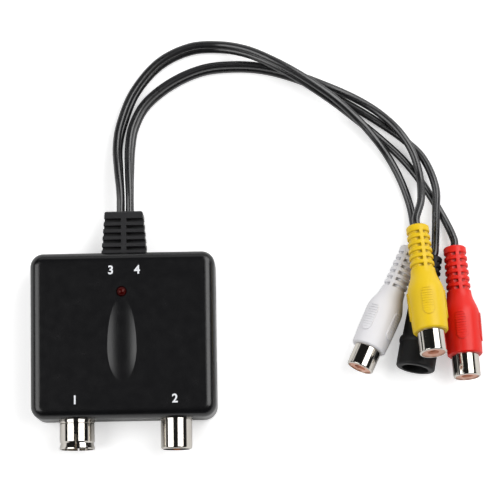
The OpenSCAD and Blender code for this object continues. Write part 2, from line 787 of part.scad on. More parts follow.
module rf_in_sleeve() {
    out = in_d / 2;
    face = can_front_y - front_y;
    mouth = face + in_reach;
    color(nickel) at_aerial(in_x) difference() {
        rotate_extrude() polygon([
            [in_seat_d / 2, 0], [out + flange_out, 0], [out + flange_out, flange_t], [out, flange_t],
            [out, face + in_collar_l], [out - in_collar_cut, face + in_collar_l],
            [out - in_collar_cut, face + in_collar_l + in_collar_cut],
            [out - in_collar_cut / 2, face + in_collar_l + 2 * in_collar_cut],
            [out - in_collar_cut / 2, mouth - in_lip_l - in_neck_l],
            [out - in_neck_cut - in_collar_cut / 2, mouth - in_lip_l - in_neck_l / 2],
            [out - in_neck_cut, mouth - in_lip_l],
            [out, mouth - in_lip_l / 4], [out - in_collar_cut / 4, mouth],
            [in_bore / 2, mouth], [in_bore / 2, in_base_l], [in_seat_d / 2, in_base_l]
        ]);
        for (turn = [0, 90]) rotate([0, 0, turn]) translate([-slit_w / 2, -in_d, mouth - slit_l])
            cube([slit_w, 2 * in_d, slit_l + over]);
    }
}

module rf_in_insulator() {
    mouth = can_front_y - front_y + in_reach;
    color(cream_insulator) at_aerial(in_x) difference() {
        union() {
            cylinder(h = in_base_l, d = in_seat_d - 2 * seat);
            cylinder(h = mouth - in_core_back, d = in_core_d);
            translate([0, 0, -boss_l]) cylinder(h = boss_l + seat, d = boss_d);
        }
        translate([0, 0, -boss_l - over]) cylinder(h = mouth, d = shank_d + 2 * seat);
        translate([0, 0, contact_foot]) cylinder(h = mouth, d = contact_d + 2 * seat);
    }
}

// The shank of an aerial contact, and its thin tail back into the can and down to the board
module contact_tail() {
    back = -boss_l - tail_pin_l;
    translate([0, 0, -boss_l]) cylinder(h = contact_foot + boss_l + seat, d = shank_d);
    translate([0, 0, back]) cylinder(h = tail_pin_l + seat, d = tail_pin_d);
    translate([0, 0, back]) sphere(d = tail_pin_d);
    translate([0, 0, back]) rotate([90, 0, 0]) cylinder(h = seam_z - board_top_z, d = tail_pin_d);
}

module rf_in_contact() {
    mouth = can_front_y - front_y + in_reach;
    tube_l = mouth - contact_back - contact_foot;
    color(brass) at_aerial(in_x) {
        contact_tail();
        translate([0, 0, contact_foot]) difference() {
            cylinder(h = tube_l, d = contact_d);
            translate([0, 0, in_contact_floor]) cylinder(h = tube_l, d = contact_bore);
            translate([-contact_slot / 2, -contact_d, tube_l - contact_slot_l])
                cube([contact_slot, 2 * contact_d, contact_slot_l + over]);
        }
    }
}

module rf_out_sleeve() {
    out = out_d / 2;
    mouth = can_front_y - front_y + out_reach;
    color(nickel) at_aerial(out_x) rotate_extrude() {
        difference() {
            union() {
                translate([out_seat_d / 2, 0]) square([out + flange_out - out_seat_d / 2, flange_t]);
                translate([out_seat_d / 2, 0])
                    square([out + out_shoulder - out_seat_d / 2, mouth - out_reach + out_shoulder_l]);
                translate([out_seat_d / 2, 0]) square([out - out_seat_d / 2, mouth - out_edge_r]);
                translate([out_seat_d / 2, 0]) square([out - out_seat_d / 2 - out_edge_r, mouth]);
                translate([out - out_edge_r, mouth - out_edge_r]) circle(out_edge_r);
            }
            translate([0, out_base_l]) square([out_bore / 2, mouth]);
        }
    }
}

module rf_out_insulator() {
    color(cream_insulator) at_aerial(out_x) difference() {
        union() {
            cylinder(h = out_base_l, d = out_seat_d - 2 * seat);
            translate([0, 0, out_base_l - seat]) cylinder(h = out_disc_l, d = out_bore - 2 * seat);
            translate([0, 0, -boss_l]) cylinder(h = boss_l + seat, d = boss_d);
        }
        translate([0, 0, -boss_l - over]) cylinder(h = 2 * out_base_l + boss_l, d = shank_d + 2 * seat);
        translate([0, 0, contact_foot]) cylinder(h = 2 * out_base_l, d = pin_d + 2 * seat);
    }
}

module rf_out_pin() {
    mouth = can_front_y - front_y + out_reach;
    color(brass) at_aerial(out_x) {
        contact_tail();
        translate([0, 0, contact_foot]) cylinder(h = mouth - pin_back - pin_d / 2 - contact_foot, d = pin_d);
        translate([0, 0, mouth - pin_back - pin_d / 2]) sphere(d = pin_d);
    }
}

// The boot's outline in one view: a taper with its two end corners cut
module boot_taper(w, end_w, t) {
    linear_extrude(t, center = true) polygon([
        [-w / 2, boot_y], [w / 2, boot_y],
        [end_w / 2, boot_end_y - boot_lean_l], [end_w / 2 - boot_lean_l, boot_end_y],
        [boot_lean_l - end_w / 2, boot_end_y], [-end_w / 2, boot_end_y - boot_lean_l]
    ]);
}

module cable_boot() {
    color(black_rubber) {
        difference() {
            translate([boot_x, 0, seam_z]) intersection() {
                boot_taper(boot_w, boot_end_w, boot_t + over);
                rotate([0, 90, 0]) boot_taper(boot_t, boot_end_t, boot_w + over);
            }
            for (i = [0:groove_n - 1], side = [-1, 1], level = [-1, 1])
                translate([
                    boot_x + side * (spine_w + boot_w) / 2 - boot_w / 2,
                    back_y + groove_first + i * groove_pitch,
                    seam_z + level * (boot_core_t + boot_t) / 2 - boot_t / 2
                ]) cube([boot_w, groove_w, boot_t]);
        }
        boot_bar(inner_back_y - boot_flange_l, boot_y + seat, boot_neck_w, boot_neck_t, boot_neck_r);
        boot_bar(inner_back_y - boot_flange_l, inner_back_y - fit, boot_flange_w, boot_flange_t,
            boot_neck_r);
    }
}

// Slots of a strain relief on both sides of two spines, deep beside the spines, shallow round the flanks
module relief_slots(tail_r, end_r, l, first, pitch, n) {
    for (i = [0:n - 1]) {
        z = first + i * pitch;
        r = tail_r + (end_r - tail_r) * z / l;
        rotate([0, 0, -web_turn]) translate([0, 0, z]) difference() {
            rotate_extrude() polygon([
                [r - slot_depth - seat, -slot_w / 2], [r - slot_flare, -slot_w / 2],
                [r + slot_flare, -slot_w / 2 - 2 * slot_flare], [r + slot_flare, slot_w / 2 + 2 * slot_flare],
                [r - slot_flare, slot_w / 2], [r - slot_depth - seat, slot_w / 2]
            ]);
            intersection() {
                cylinder(h = 2 * slot_w, r = r - flank_depth, center = true);
                cube([2 * r, 2 * (r - slot_depth), 2 * slot_w], center = true);
            }
            cube([web_w, 2 * (r + over), 4 * slot_w], center = true);
        }
    }
}

function ease(t) = (1 - cos(180 * t)) / 2;

// Outline of the grip, swelling from the strain relief and easing in towards its rim
function grip_points(rise) = concat(
    [for (i = [0:swell_steps]) let (t = i / swell_steps)
        [relief_d / 2 + (grip_d / 2 + rise - relief_d / 2) * ease(t), relief_l + swell_l * t]],
    [for (i = [1:crown_steps]) let (t = i / crown_steps)
        [grip_d / 2 + rise - (grip_d - rim_d) / 2 * t * t,
            relief_l + swell_l + (grip_l - swell_l - jack_edge_r) * t]],
    [[rim_d / 2 + rise - jack_edge_r, rim_start]]
);

module jack_boot(tint) {
    color(tint) difference() {
        union() {
            rotate_extrude() polygon(concat(
                [[0, 0], [tail_d / 2 - jack_edge_r, 0], [tail_d / 2, jack_edge_r]],
                grip_points(0), [[0, rim_start]]));
            finger_pads();
        }
        relief_slots(tail_d / 2, relief_d / 2, relief_l, relief_slot_first, relief_slot_pitch, slot_n);
        translate([0, 0, rim_start - barrel_hold])
            cylinder(h = barrel_hold + over, d = barrel_d - 2 * barrel_root_cut + 2 * seat);
    }
}

// Four oval pads, crossed by fine ridges
module finger_pads() {
    difference() {
        intersection() {
            rotate_extrude() polygon(concat([[0, relief_l]], grip_points(pad_rise), [[0, rim_start]]));
            for (quarter = [0:3]) rotate([0, 0, quarter * 90]) translate([0, 0, pad_mid]) rotate([0, 90, 0])
                linear_extrude(grip_d) {
                    for (side = [-1, 1]) translate([side * (pad_l - pad_w) / 2, 0]) circle(d = pad_w);
                    square([pad_l - pad_w, pad_w], center = true);
                }
        }
        rotate_extrude() for (i = [0:pad_ridge_n - 1]) {
            z = pad_mid + (i - (pad_ridge_n - 1) / 2) * pad_l / (pad_ridge_n + 1);
            r = grip_d / 2 + pad_rise / 2;
            translate([r, z - pad_ridge_w / 2]) square([pad_rise, pad_ridge_w]);
        }
    }
}

module jack_barrel() {
    r = barrel_d / 2;
    color(nickel) rotate_extrude() {
        difference() {
            union() {
                translate([0, rim_start - barrel_hold]) square([r - barrel_root_cut, barrel_hold + seat]);
                translate([0, rim_start]) square([r, jack_l - rim_start - barrel_edge_r]);
                square([r - barrel_edge_r, jack_l]);
                translate([r - barrel_edge_r, jack_l - barrel_edge_r]) circle(barrel_edge_r);
            }
            translate([0, -over]) square([barrel_bore / 2, jack_l + 2 * over]);
            square([r, rim_start - barrel_hold]);
        }
    }
}

module jack_insulator() {
    front = jack_l - insulator_back;
    color(amber_insulator) difference() {
        translate([0, 0, front - insulator_l]) cylinder(h = insulator_l, d = barrel_bore - 2 * seat);
        translate([0, 0, front - insulator_l - over]) cylinder(h = insulator_l + 2 * over, d = phono_hole);
        translate([0, 0, front - insulator_l - over])
            cylinder(h = insulator_l + over - phono_contact_back, d = phono_contact_d + 2 * seat);
    }
}

module jack_contact() {
    front = jack_l - insulator_back - phono_contact_back;
    color(brass) translate([0, 0, front - phono_contact_l]) difference() {
        cylinder(h = phono_contact_l, d = phono_contact_d);
        translate([0, 0, contact_floor]) cylinder(h = phono_contact_l, d = phono_bore);
    }
}

// Moves a piece that is modelled upwards from its tail to where its jack lies
module lay(tail, turn, lift, roll) {
    translate(tail) rotate([90 - lift, 0, turn]) rotate([0, 0, roll]) children();
}
module lay_white() { lay(white_tail, white_turn, white_lift, white_roll) children(); }
module lay_yellow() { lay(yellow_tail, yellow_turn, yellow_lift, yellow_roll) children(); }
module lay_red() { lay(red_tail, red_turn, red_lift, red_roll) children(); }
module lay_power() { lay(power_tail, power_turn, power_lift, power_roll) children(); }

module lead(x, z, route, tail, turn, lift) {
    color(black_rubber) tube(lead_path(x, z, route, tail, turn, lift), cord_d);
}

module white_cord() { lead(exit_left_x, exit_high_z, white_route, white_tail, white_turn, white_lift); }
module white_boot() { lay_white() jack_boot("#dcdad8"); }
module white_barrel() { lay_white() jack_barrel(); }
module white_insulator() { lay_white() jack_insulator(); }
module white_contact() { lay_white() jack_contact(); }

module yellow_cord() {
    lead(exit_right_x, exit_high_z, yellow_route, yellow_tail, yellow_turn, yellow_lift);
}
module yellow_boot() { lay_yellow() jack_boot("#e8c22c"); }
module yellow_barrel() { lay_yellow() jack_barrel(); }
module yellow_insulator() { lay_yellow() jack_insulator(); }
module yellow_contact() { lay_yellow() jack_contact(); }

module red_cord() { lead(exit_left_x, exit_low_z, red_route, red_tail, red_turn, red_lift); }
module red_boot() { lay_red() jack_boot("#d32f28"); }
module red_barrel() { lay_red() jack_barrel(); }
module red_insulator() { lay_red() jack_insulator(); }
module red_contact() { lay_red() jack_contact(); }

module power_cord() { lead(exit_right_x, exit_low_z, power_route, power_tail, power_turn, power_lift); }

module power_boot() {
    collar_top = power_l - power_mouth_l;
    collar_low = collar_top - power_collar_w;
    face = power_l - power_recess;
    neck_start = power_neck_d / 2 * power_neck_start_share;
    color(black_rubber) lay_power() difference() {
        rotate_extrude() polygon(concat(
            [[0, 0], [power_tail_d / 2 - jack_edge_r, 0], [power_tail_d / 2, jack_edge_r]],
            [for (i = [0:swell_steps]) let (t = i / swell_steps)
                [power_relief_d / 2 + (neck_start - power_relief_d / 2) * ease(t),
                    power_relief_l + power_swell_l * t]],
            [[power_neck_d / 2, collar_low]],
            [for (a = [-60:30:60]) let (c = power_collar_w / 2)
                [power_collar_d / 2 - c / 2 * (1 - cos(a)), collar_low + c + c * sin(a) / sin(60)]],
            [[power_d / 2, collar_top]],
            [for (a = [0:15:90]) [power_d / 2 - power_edge_r * (1 - cos(a)),
                power_l - power_edge_r * (1 - sin(a))]],
            [[0, power_l]]));
        relief_slots(power_tail_d / 2, power_relief_d / 2, power_relief_l, power_slot_first,
            power_slot_pitch, power_slot_n);
        translate([0, 0, face]) cylinder(h = power_recess + over, d = power_opening);
        translate([0, 0, face - power_insert_l])
            cylinder(h = power_insert_l, d = power_insert_d + 2 * seat);
    }
}

module power_insert() {
    face = power_l - power_recess;
    color(chip_black) lay_power() difference() {
        translate([0, 0, face - power_insert_l]) cylinder(h = power_insert_l, d = power_insert_d);
        translate([0, 0, face - power_bore_l]) cylinder(h = power_bore_l + over, d = power_bore);
    }
}

module power_pin() {
    face = power_l - power_recess;
    color(nickel) lay_power() {
        translate([0, 0, face - power_bore_l])
            cylinder(h = power_bore_l - power_pin_back - power_pin_d / 2, d = power_pin_d);
        translate([0, 0, face - power_pin_back - power_pin_d / 2]) sphere(d = power_pin_d);
    }
}

bottom_cover();
top_cover();
circuit_board();
screening_can();
can_lid();
modulator_chip();
control_chip();
crystal();
voltage_regulator();
electrolytic_capacitors();
chip_parts();
tuning_coils();
status_lamp();
lamp_legs();
lead_wires();
rf_in_sleeve();
rf_in_insulator();
rf_in_contact();
rf_out_sleeve();
rf_out_insulator();
rf_out_pin();
cable_boot();
white_cord();
white_boot();
white_barrel();
white_insulator();
white_contact();
yellow_cord();
yellow_boot();
yellow_barrel();
yellow_insulator();
yellow_contact();
red_cord();
red_boot();
red_barrel();
red_insulator();
red_contact();
power_cord();
power_boot();
power_insert();
power_pin();
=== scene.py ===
"""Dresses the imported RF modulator: camera, materials, leads, port numbers, floor and light.

Everything sits in the part's own frame: origin under the middle of the box, X to the right, Y from the
aerial connectors to the cable boot, Z up. Named lengths are in millimetres and pass through mm(), but
for the sensor's, which Blender takes in millimetres, and the floor's and the lights', which are in metres.
Named angles are in degrees.
"""
import math

import bmesh
import bpy
from mathutils import Matrix, Vector


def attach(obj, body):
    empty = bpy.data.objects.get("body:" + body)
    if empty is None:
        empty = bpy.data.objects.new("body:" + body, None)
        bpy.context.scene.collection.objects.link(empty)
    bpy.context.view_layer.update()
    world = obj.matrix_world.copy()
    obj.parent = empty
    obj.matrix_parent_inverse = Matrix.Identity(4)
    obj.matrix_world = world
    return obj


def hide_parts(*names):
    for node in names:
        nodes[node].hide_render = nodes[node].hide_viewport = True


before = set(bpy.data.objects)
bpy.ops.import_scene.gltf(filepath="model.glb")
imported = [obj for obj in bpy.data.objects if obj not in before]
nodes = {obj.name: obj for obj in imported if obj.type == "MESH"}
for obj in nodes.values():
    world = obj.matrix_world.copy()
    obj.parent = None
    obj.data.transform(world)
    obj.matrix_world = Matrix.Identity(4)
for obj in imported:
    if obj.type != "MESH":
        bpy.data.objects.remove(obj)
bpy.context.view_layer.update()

MM = 0.001
WHITE = (1, 1, 1, 1)


def mm(*values):
    """Millimetres to metres: a number for one value, a Vector for three."""
    return values[0] * MM if len(values) == 1 else Vector(values) * MM


def srgb(red, green, blue):
    """A colour as seen, 0 to 255, to the linear RGBA that shaders use."""
    def linear(value):
        share = value / 255
        return share / 12.92 if share <= 0.04045 else ((share + 0.055) / 1.055) ** 2.4
    return (linear(red), linear(green), linear(blue), 1.0)


def add_object(name, data):
    """A new object, linked into the scene."""
    made = bpy.data.objects.new(name, data)
    bpy.context.scene.collection.objects.link(made)
    return made


def direction_from_overhead(lean_x, lean_y):
    """The upward direction, leaning by these angles towards +X and +Y."""
    return Vector((math.tan(math.radians(lean_x)), math.tan(math.radians(lean_y)), 1)).normalized()


def place_facing(target, away, distance, roll):
    """The matrix of a camera or light that looks at target from the side where away points.

    roll turns it about its line of sight, counter-clockwise as seen from behind it.
    """
    across = Vector((0, 1, 0)).cross(away).normalized()
    place = Matrix((across, away.cross(across), away)).transposed().to_4x4()
    place = place @ Matrix.Rotation(math.radians(roll), 4, "Z")
    place.translation = target + away * distance
    return place


# Camera

IMAGE_SIDE_IN_PIXELS = 500
FOCAL_LENGTH_IN_PIXELS = 2621
SENSOR_WIDTH = 36.0
CAMERA_TARGET = (38.7, 24.15, 8.0)
CAMERA_DISTANCE = 800
CAMERA_LEAN_X = 1.0
CAMERA_LEAN_Y = -8.5
CAMERA_ROLL = -0.93


def make_camera():
    """A long lens nearly straight above, leaning a little towards the aerial connectors."""
    data = bpy.data.cameras.new("camera")
    data.sensor_width = SENSOR_WIDTH
    data.lens = FOCAL_LENGTH_IN_PIXELS / IMAGE_SIDE_IN_PIXELS * SENSOR_WIDTH
    camera = add_object("camera", data)
    away = direction_from_overhead(CAMERA_LEAN_X, CAMERA_LEAN_Y)
    camera.matrix_world = place_facing(mm(*CAMERA_TARGET), away, mm(CAMERA_DISTANCE), CAMERA_ROLL)
    bpy.context.scene.camera = camera


make_camera()


# Materials

# A moulding's colour and gloss drift slowly, over patches of these sizes
MOULDED_COLOUR_PATCH = 9
MOULDED_GLOSS_PATCH = 3
MOULDED_GLOSS_SPREAD = 0.05

METAL_COLOUR_PATCH = 2
METAL_COLOUR_SHARE = 0.03
METAL_GLOSS_PATCH = 1.2
METAL_GLOSS_SPREAD = 0.04
METAL_SCRATCH_HEIGHT = 0.0006

LENS_COLOUR_PATCH = 0.9
LENS_COLOUR_SHARE = 0.35
LENS_GLOSS_PATCH = 0.6
LENS_GLOSS_SPREAD = 0.05
LENS_ROUGHNESS = 0.15
LENS_RIPPLE = 0.5
LENS_RIPPLE_HEIGHT = 0.002
LENS_SPECULAR = 0.3
LENS_SPECULAR_TINT = (1.0, 0.45, 0.4, 1.0)

# Painted shade in grooves: a surface with walls within this reach gets a darker base colour, in full
# where it sees the first share of open space or less, and not at all from the second share up
GROOVE_REACH = 1.1
GROOVE_DARKEST = 0.3
GROOVE_ENDS = 0.8
GROOVE_SAMPLES = 8


def add_node(tree, kind, inputs=None):
    """A new shader node, with the values of the inputs that no link feeds."""
    node = tree.nodes.new(kind)
    for key, value in (inputs or {}).items():
        node.inputs[key].default_value = value
    return node


def new_material(name):
    """A new material, its node tree and its main shader."""
    material = bpy.data.materials.new(name)
    material.use_nodes = True
    return material, material.node_tree, material.node_tree.nodes["Principled BSDF"]


def noise(tree, feature_mm, detail=3.0):
    """Noise whose features are about feature_mm across, on the object's own coordinates."""
    coordinates = add_node(tree, "ShaderNodeTexCoord")
    texture = add_node(tree, "ShaderNodeTexNoise", {"Scale": 1 / mm(feature_mm), "Detail": detail})
    tree.links.new(coordinates.outputs["Object"], texture.inputs["Vector"])
    return texture.outputs["Fac"]


def vary_colour(tree, shader, colour, share, feature_mm):
    """Base colour that drifts by +-share around colour."""
    mix = add_node(tree, "ShaderNodeMix")
    mix.data_type = "RGBA"
    mix.inputs["A"].default_value = [part * (1 - share) for part in colour[:3]] + [1]
    mix.inputs["B"].default_value = [min(1, part * (1 + share)) for part in colour[:3]] + [1]
    tree.links.new(noise(tree, feature_mm), mix.inputs["Factor"])
    tree.links.new(mix.outputs["Result"], shader.inputs["Base Color"])
    return mix.outputs["Result"]


def paint_groove_shade(tree, shader, colour, shade):
    """Painted shade: base colour that falls to shade times itself deep in narrow grooves, where shadow falls.
    """
    openness = add_node(tree, "ShaderNodeAmbientOcclusion", {"Distance": mm(GROOVE_REACH)})
    openness.samples = GROOVE_SAMPLES
    openness.only_local = True
    factor = add_node(tree, "ShaderNodeMapRange", {
        "From Min": GROOVE_DARKEST, "From Max": GROOVE_ENDS, "To Min": shade, "To Max": 1.0})
    painted_shade_colour = add_node(tree, "ShaderNodeVectorMath")
    painted_shade_colour.operation = "SCALE"
    tree.links.new(openness.outputs["AO"], factor.inputs["Value"])
    tree.links.new(colour, painted_shade_colour.inputs[0])
    tree.links.new(factor.outputs["Result"], painted_shade_colour.inputs["Scale"])
    tree.links.new(painted_shade_colour.outputs["Vector"], shader.inputs["Base Color"])


def vary_roughness(tree, shader, roughness, spread, feature_mm):
    """Roughness that drifts by +-spread around roughness."""
    drift = add_node(tree, "ShaderNodeMapRange", {"To Min": roughness - spread, "To Max": roughness + spread})
    tree.links.new(noise(tree, feature_mm), drift.inputs["Value"])
    tree.links.new(drift.outputs["Result"], shader.inputs["Roughness"])


def add_bump(tree, shader, height_mm, feature_mm, detail=2.0):
    """A fine relief of the surface, height_mm deep."""
    bump = add_node(tree, "ShaderNodeBump", {"Distance": mm(height_mm)})
    tree.links.new(noise(tree, feature_mm, detail), bump.inputs["Height"])
    tree.links.new(bump.outputs["Normal"], shader.inputs["Normal"])


def moulded(name, colour, roughness, grain_mm=0.25, grain_height_mm=0.004, colour_share=0.05, specular=0.5,
            painted_groove_shade=None):
    """Moulded plastic or vinyl: slight colour drift, uneven gloss, a fine grain and, if asked, painted shade
    in grooves.
    """
    material, tree, shader = new_material(name)
    drifting = vary_colour(tree, shader, colour, colour_share, MOULDED_COLOUR_PATCH)
    # Painted shade: a darker base colour deep in grooves, where shadow falls
    if painted_groove_shade is not None:
        paint_groove_shade(tree, shader, drifting, painted_groove_shade)
    vary_roughness(tree, shader, roughness, MOULDED_GLOSS_SPREAD, MOULDED_GLOSS_PATCH)
    add_bump(tree, shader, grain_height_mm, grain_mm)
    shader.inputs["Specular IOR Level"].default_value = specular
    return material


def metal(name, colour, roughness, scratch_mm=0.35):
    """Plated or bare metal with faint scratches and uneven polish."""
    material, tree, shader = new_material(name)
    shader.inputs["Metallic"].default_value = 1.0
    vary_colour(tree, shader, colour, METAL_COLOUR_SHARE, METAL_COLOUR_PATCH)
    vary_roughness(tree, shader, roughness, METAL_GLOSS_SPREAD, METAL_GLOSS_PATCH)
    add_bump(tree, shader, METAL_SCRATCH_HEIGHT, scratch_mm, detail=4.0)
    return material


def tinted_lens(name, colour):
    """Dark red epoxy of the unlit status lamp under a clear gloss."""
    material, tree, shader = new_material(name)
    vary_colour(tree, shader, colour, LENS_COLOUR_SHARE, LENS_COLOUR_PATCH)
    vary_roughness(tree, shader, LENS_ROUGHNESS, LENS_GLOSS_SPREAD, LENS_GLOSS_PATCH)
    add_bump(tree, shader, LENS_RIPPLE_HEIGHT, LENS_RIPPLE)
    shader.inputs["Specular IOR Level"].default_value = LENS_SPECULAR
    shader.inputs["Specular Tint"].default_value = LENS_SPECULAR_TINT
    return material


HOUSING = moulded("housing_plastic", srgb(13, 13, 15), 0.25, grain_mm=0.3, grain_height_mm=0.0022,
                  specular=0.6)
# Painted shade: the vinyls below that take a groove value get a darker base colour deep in their grooves
BLACK_VINYL = moulded("black_vinyl", srgb(32, 32, 34), 0.36, grain_mm=0.18, specular=0.6, painted_groove_shade=0.15)
SOCKET_VINYL = moulded("socket_vinyl", srgb(17, 17, 18), 0.5, grain_mm=0.18, specular=0.28,
                       painted_groove_shade=0.5)
CORD_VINYL = moulded("cord_vinyl", srgb(22, 22, 24), 0.28, grain_mm=0.3, specular=1.0)
WHITE_VINYL = moulded("white_vinyl", srgb(227, 226, 229), 0.45, specular=0.35, colour_share=0.02,
                      painted_groove_shade=0.45)
YELLOW_VINYL = moulded("yellow_vinyl", srgb(230, 192, 15), 0.4, specular=0.4, colour_share=0.04,
                       painted_groove_shade=0.45)
RED_VINYL = moulded("red_vinyl", srgb(230, 26, 11), 0.4, specular=0.45, colour_share=0.04,
                    painted_groove_shade=0.4)
NICKEL = metal("nickel_plate", srgb(208, 203, 195), 0.09)
TIN = metal("tin_plate", srgb(196, 198, 197), 0.3, scratch_mm=0.6)
BRASS = metal("brass", srgb(236, 150, 84), 0.35)
AMBER = moulded("amber_insulator", srgb(233, 170, 142), 0.35)
CREAM = moulded("cream_insulator", srgb(228, 220, 200), 0.45)
BOARD = moulded("circuit_board", srgb(24, 92, 54), 0.35)
CHIP = moulded("chip_black", srgb(30, 30, 33), 0.5)
CAPACITOR = moulded("capacitor_sleeve", srgb(42, 52, 78), 0.3)
CERAMIC = moulded("ceramic", srgb(150, 128, 96), 0.5)
WIRE = moulded("wire_insulation", srgb(170, 52, 42), 0.4)
LENS = tinted_lens("lamp_lens", srgb(54, 4, 4))
INK = moulded("white_ink", srgb(232, 234, 238), 0.5, grain_height_mm=0.001, colour_share=0.03)

NODE_MATERIALS = {
    "bottom_cover": HOUSING, "top_cover": HOUSING, "circuit_board": BOARD, "screening_can": TIN,
    "can_lid": TIN, "modulator_chip": CHIP, "control_chip": CHIP, "crystal": TIN,
    "voltage_regulator": CHIP, "electrolytic_capacitors": CAPACITOR, "chip_parts": CERAMIC,
    "tuning_coils": TIN, "status_lamp": LENS, "lamp_legs": TIN, "lead_wires": WIRE,
    "rf_in_sleeve": NICKEL, "rf_in_insulator": CREAM, "rf_in_contact": BRASS,
    "rf_out_sleeve": NICKEL, "rf_out_insulator": CREAM, "rf_out_pin": BRASS, "cable_boot": BLACK_VINYL,
    "white_boot": WHITE_VINYL, "yellow_boot": YELLOW_VINYL, "red_boot": RED_VINYL,
    "power_boot": SOCKET_VINYL, "power_insert": CHIP, "power_pin": NICKEL,
}
PHONO_JACKS = ("white", "yellow", "red")
for jack in PHONO_JACKS:
    NODE_MATERIALS[jack + "_barrel"] = NICKEL
    NODE_MATERIALS[jack + "_insulator"] = AMBER
    NODE_MATERIALS[jack + "_contact"] = BRASS


# CAD nodes that stay: their material and softened edges

SOFT_EDGE_WIDTHS = {
    "cable_boot": 0.22, "white_boot": 0.1, "yellow_boot": 0.1, "red_boot": 0.1, "power_boot": 0.12,
}
SOFT_EDGE_ANGLE = 28
SOFT_EDGE_SEGMENTS = 2
WELD_DISTANCE = 0.002


def soften_edges(piece, width):
    """Modifiers that join the CAD faces, round their edges and shade large faces flat."""
    for face in piece.data.polygons:
        face.use_smooth = True
    weld = piece.modifiers.new("weld", "WELD")
    weld.merge_threshold = mm(WELD_DISTANCE)
    bevel = piece.modifiers.new("soft_edges", "BEVEL")
    bevel.width = mm(width)
    bevel.segments = SOFT_EDGE_SEGMENTS
    bevel.limit_method = "ANGLE"
    bevel.angle_limit = math.radians(SOFT_EDGE_ANGLE)
    weighted = piece.modifiers.new("weighted_normals", "WEIGHTED_NORMAL")
    weighted.mode = "FACE_AREA"


def dress(name, material):
    """Gives a CAD node its material, and softened edges where the moulding has them."""
    piece = nodes[name]
    if not piece.material_slots:
        piece.data.materials.append(material)
    for held in piece.material_slots:
        held.material = material
    if name in SOFT_EDGE_WIDTHS:
        soften_edges(piece, SOFT_EDGE_WIDTHS[name])


for node_name, node_material in NODE_MATERIALS.items():
    dress(node_name, node_material)


# Leads

LEAD_DIAMETER = 2.4
LEAD_ROUNDNESS = 6
# Points of the smooth line to a stretch of the route
LEAD_STEPS = 8
# Where each lead leaves the boot, its route, and the tail of its jack
LEADS = {
    "white": [
        (-0.7, 36.25, 9.1), (-0.7, 42.05, 9.1),
        (-1.5, 50, 7.8), (-2, 57.5, 5.4), (-0.8, 65.3, 4), (3.3, 75.1, 3.8),
        (11, 84.1, 3.8), (20.6, 88.8, 3.8), (30, 89.3, 4), (38.5, 87.1, 6.8),
        (46.5, 83.1, 9.1), (55, 78.2, 9.1), (64.6, 71.7, 7.6), (72.2, 65.2, 4.6),
        (77.8, 58.7, 3.7), (82.1, 52.6, 2), (85.8, 45.1, 1.3), (88.4, 36.5, 1.5),
        (89.33, 26.7, 3.04), (88.1, 24, 3.5),
    ],
    "red": [
        (-0.7, 36.25, 6.5), (-0.7, 42.05, 6.5),
        (-1.1, 50, 5), (-1.4, 57.5, 2.9), (0, 65, 1.4), (4.1, 75, 1.3),
        (11.5, 83.4, 1.3), (20.8, 87.9, 1.3), (30, 88.4, 1.5), (38.2, 86.3, 4.2),
        (46.2, 82.4, 6.5), (55, 77.2, 6.5), (64.4, 70.9, 5), (72.1, 65.3, 2),
        (79.5, 59.1, 1.3), (86.6, 52.1, 1.3), (92.8, 43.7, 1.3), (98.3, 34, 1.6),
        (101.12, 27.26, 3.04), (101.3, 24.3, 3.5),
    ],
    "yellow": [
        (2.1, 36.25, 9.1), (2.1, 42.05, 9.1),
        (1.8, 50, 7.8), (1.8, 57.5, 5.4), (3, 64.5, 4), (7, 71.6, 3.8),
        (15, 77.9, 3.8), (24.5, 81.9, 3.8), (34, 82.9, 3.8), (43.5, 82.2, 3.7),
        (53, 79.7, 3.7), (62.4, 76, 3.7), (71.2, 72.1, 2.7), (78.7, 67.4, 2.6),
        (85.1, 61, 4), (89.3, 54, 4), (91.2, 46, 5), (91.2, 38.6, 8.2),
        (89.45, 32.71, 10.3), (89.7, 29.8, 11),
    ],
    "power": [
        (2.1, 36.25, 6.5), (2.1, 42.05, 6.5),
        (2.2, 50, 5), (2.5, 57.5, 2.9), (3.7, 64.2, 1.4), (7.5, 71, 1.3),
        (15.3, 77.2, 1.3), (24.5, 81.2, 1.3), (34, 82.2, 1.3), (43.5, 81.5, 1.2),
        (53, 78.8, 1.2), (61.9, 74.9, 1.2), (70.3, 70, 1.2), (78.7, 64.6, 1.2),
        (86.6, 58.8, 1.3), (92.5, 52.5, 2.4), (95.9, 43.4, 4.3), (95.9, 35.5, 3.9),
        (95.47, 24.61, 2.29), (94.9, 21.7, 2.75),
    ],
}
JACK_PIECES = {name: ("boot", "barrel", "insulator", "contact") for name in PHONO_JACKS}
JACK_PIECES["power"] = ("boot", "insert", "pin")


def smooth_route(points):
    """Catmull-Rom line through the route's points, LEAD_STEPS to a stretch."""
    ends = [2 * points[0] - points[1], *points, 2 * points[-1] - points[-2]]
    line = []
    for before, start, end, after in zip(ends, ends[1:], ends[2:], ends[3:]):
        for step in range(LEAD_STEPS):
            t = step / LEAD_STEPS
            line.append(0.5 * (2 * start + (end - before) * t
                               + (2 * before - 5 * start + 4 * end - after) * t ** 2
                               + (3 * start - before - 3 * end + after) * t ** 3))
    return [*line, points[-1]]


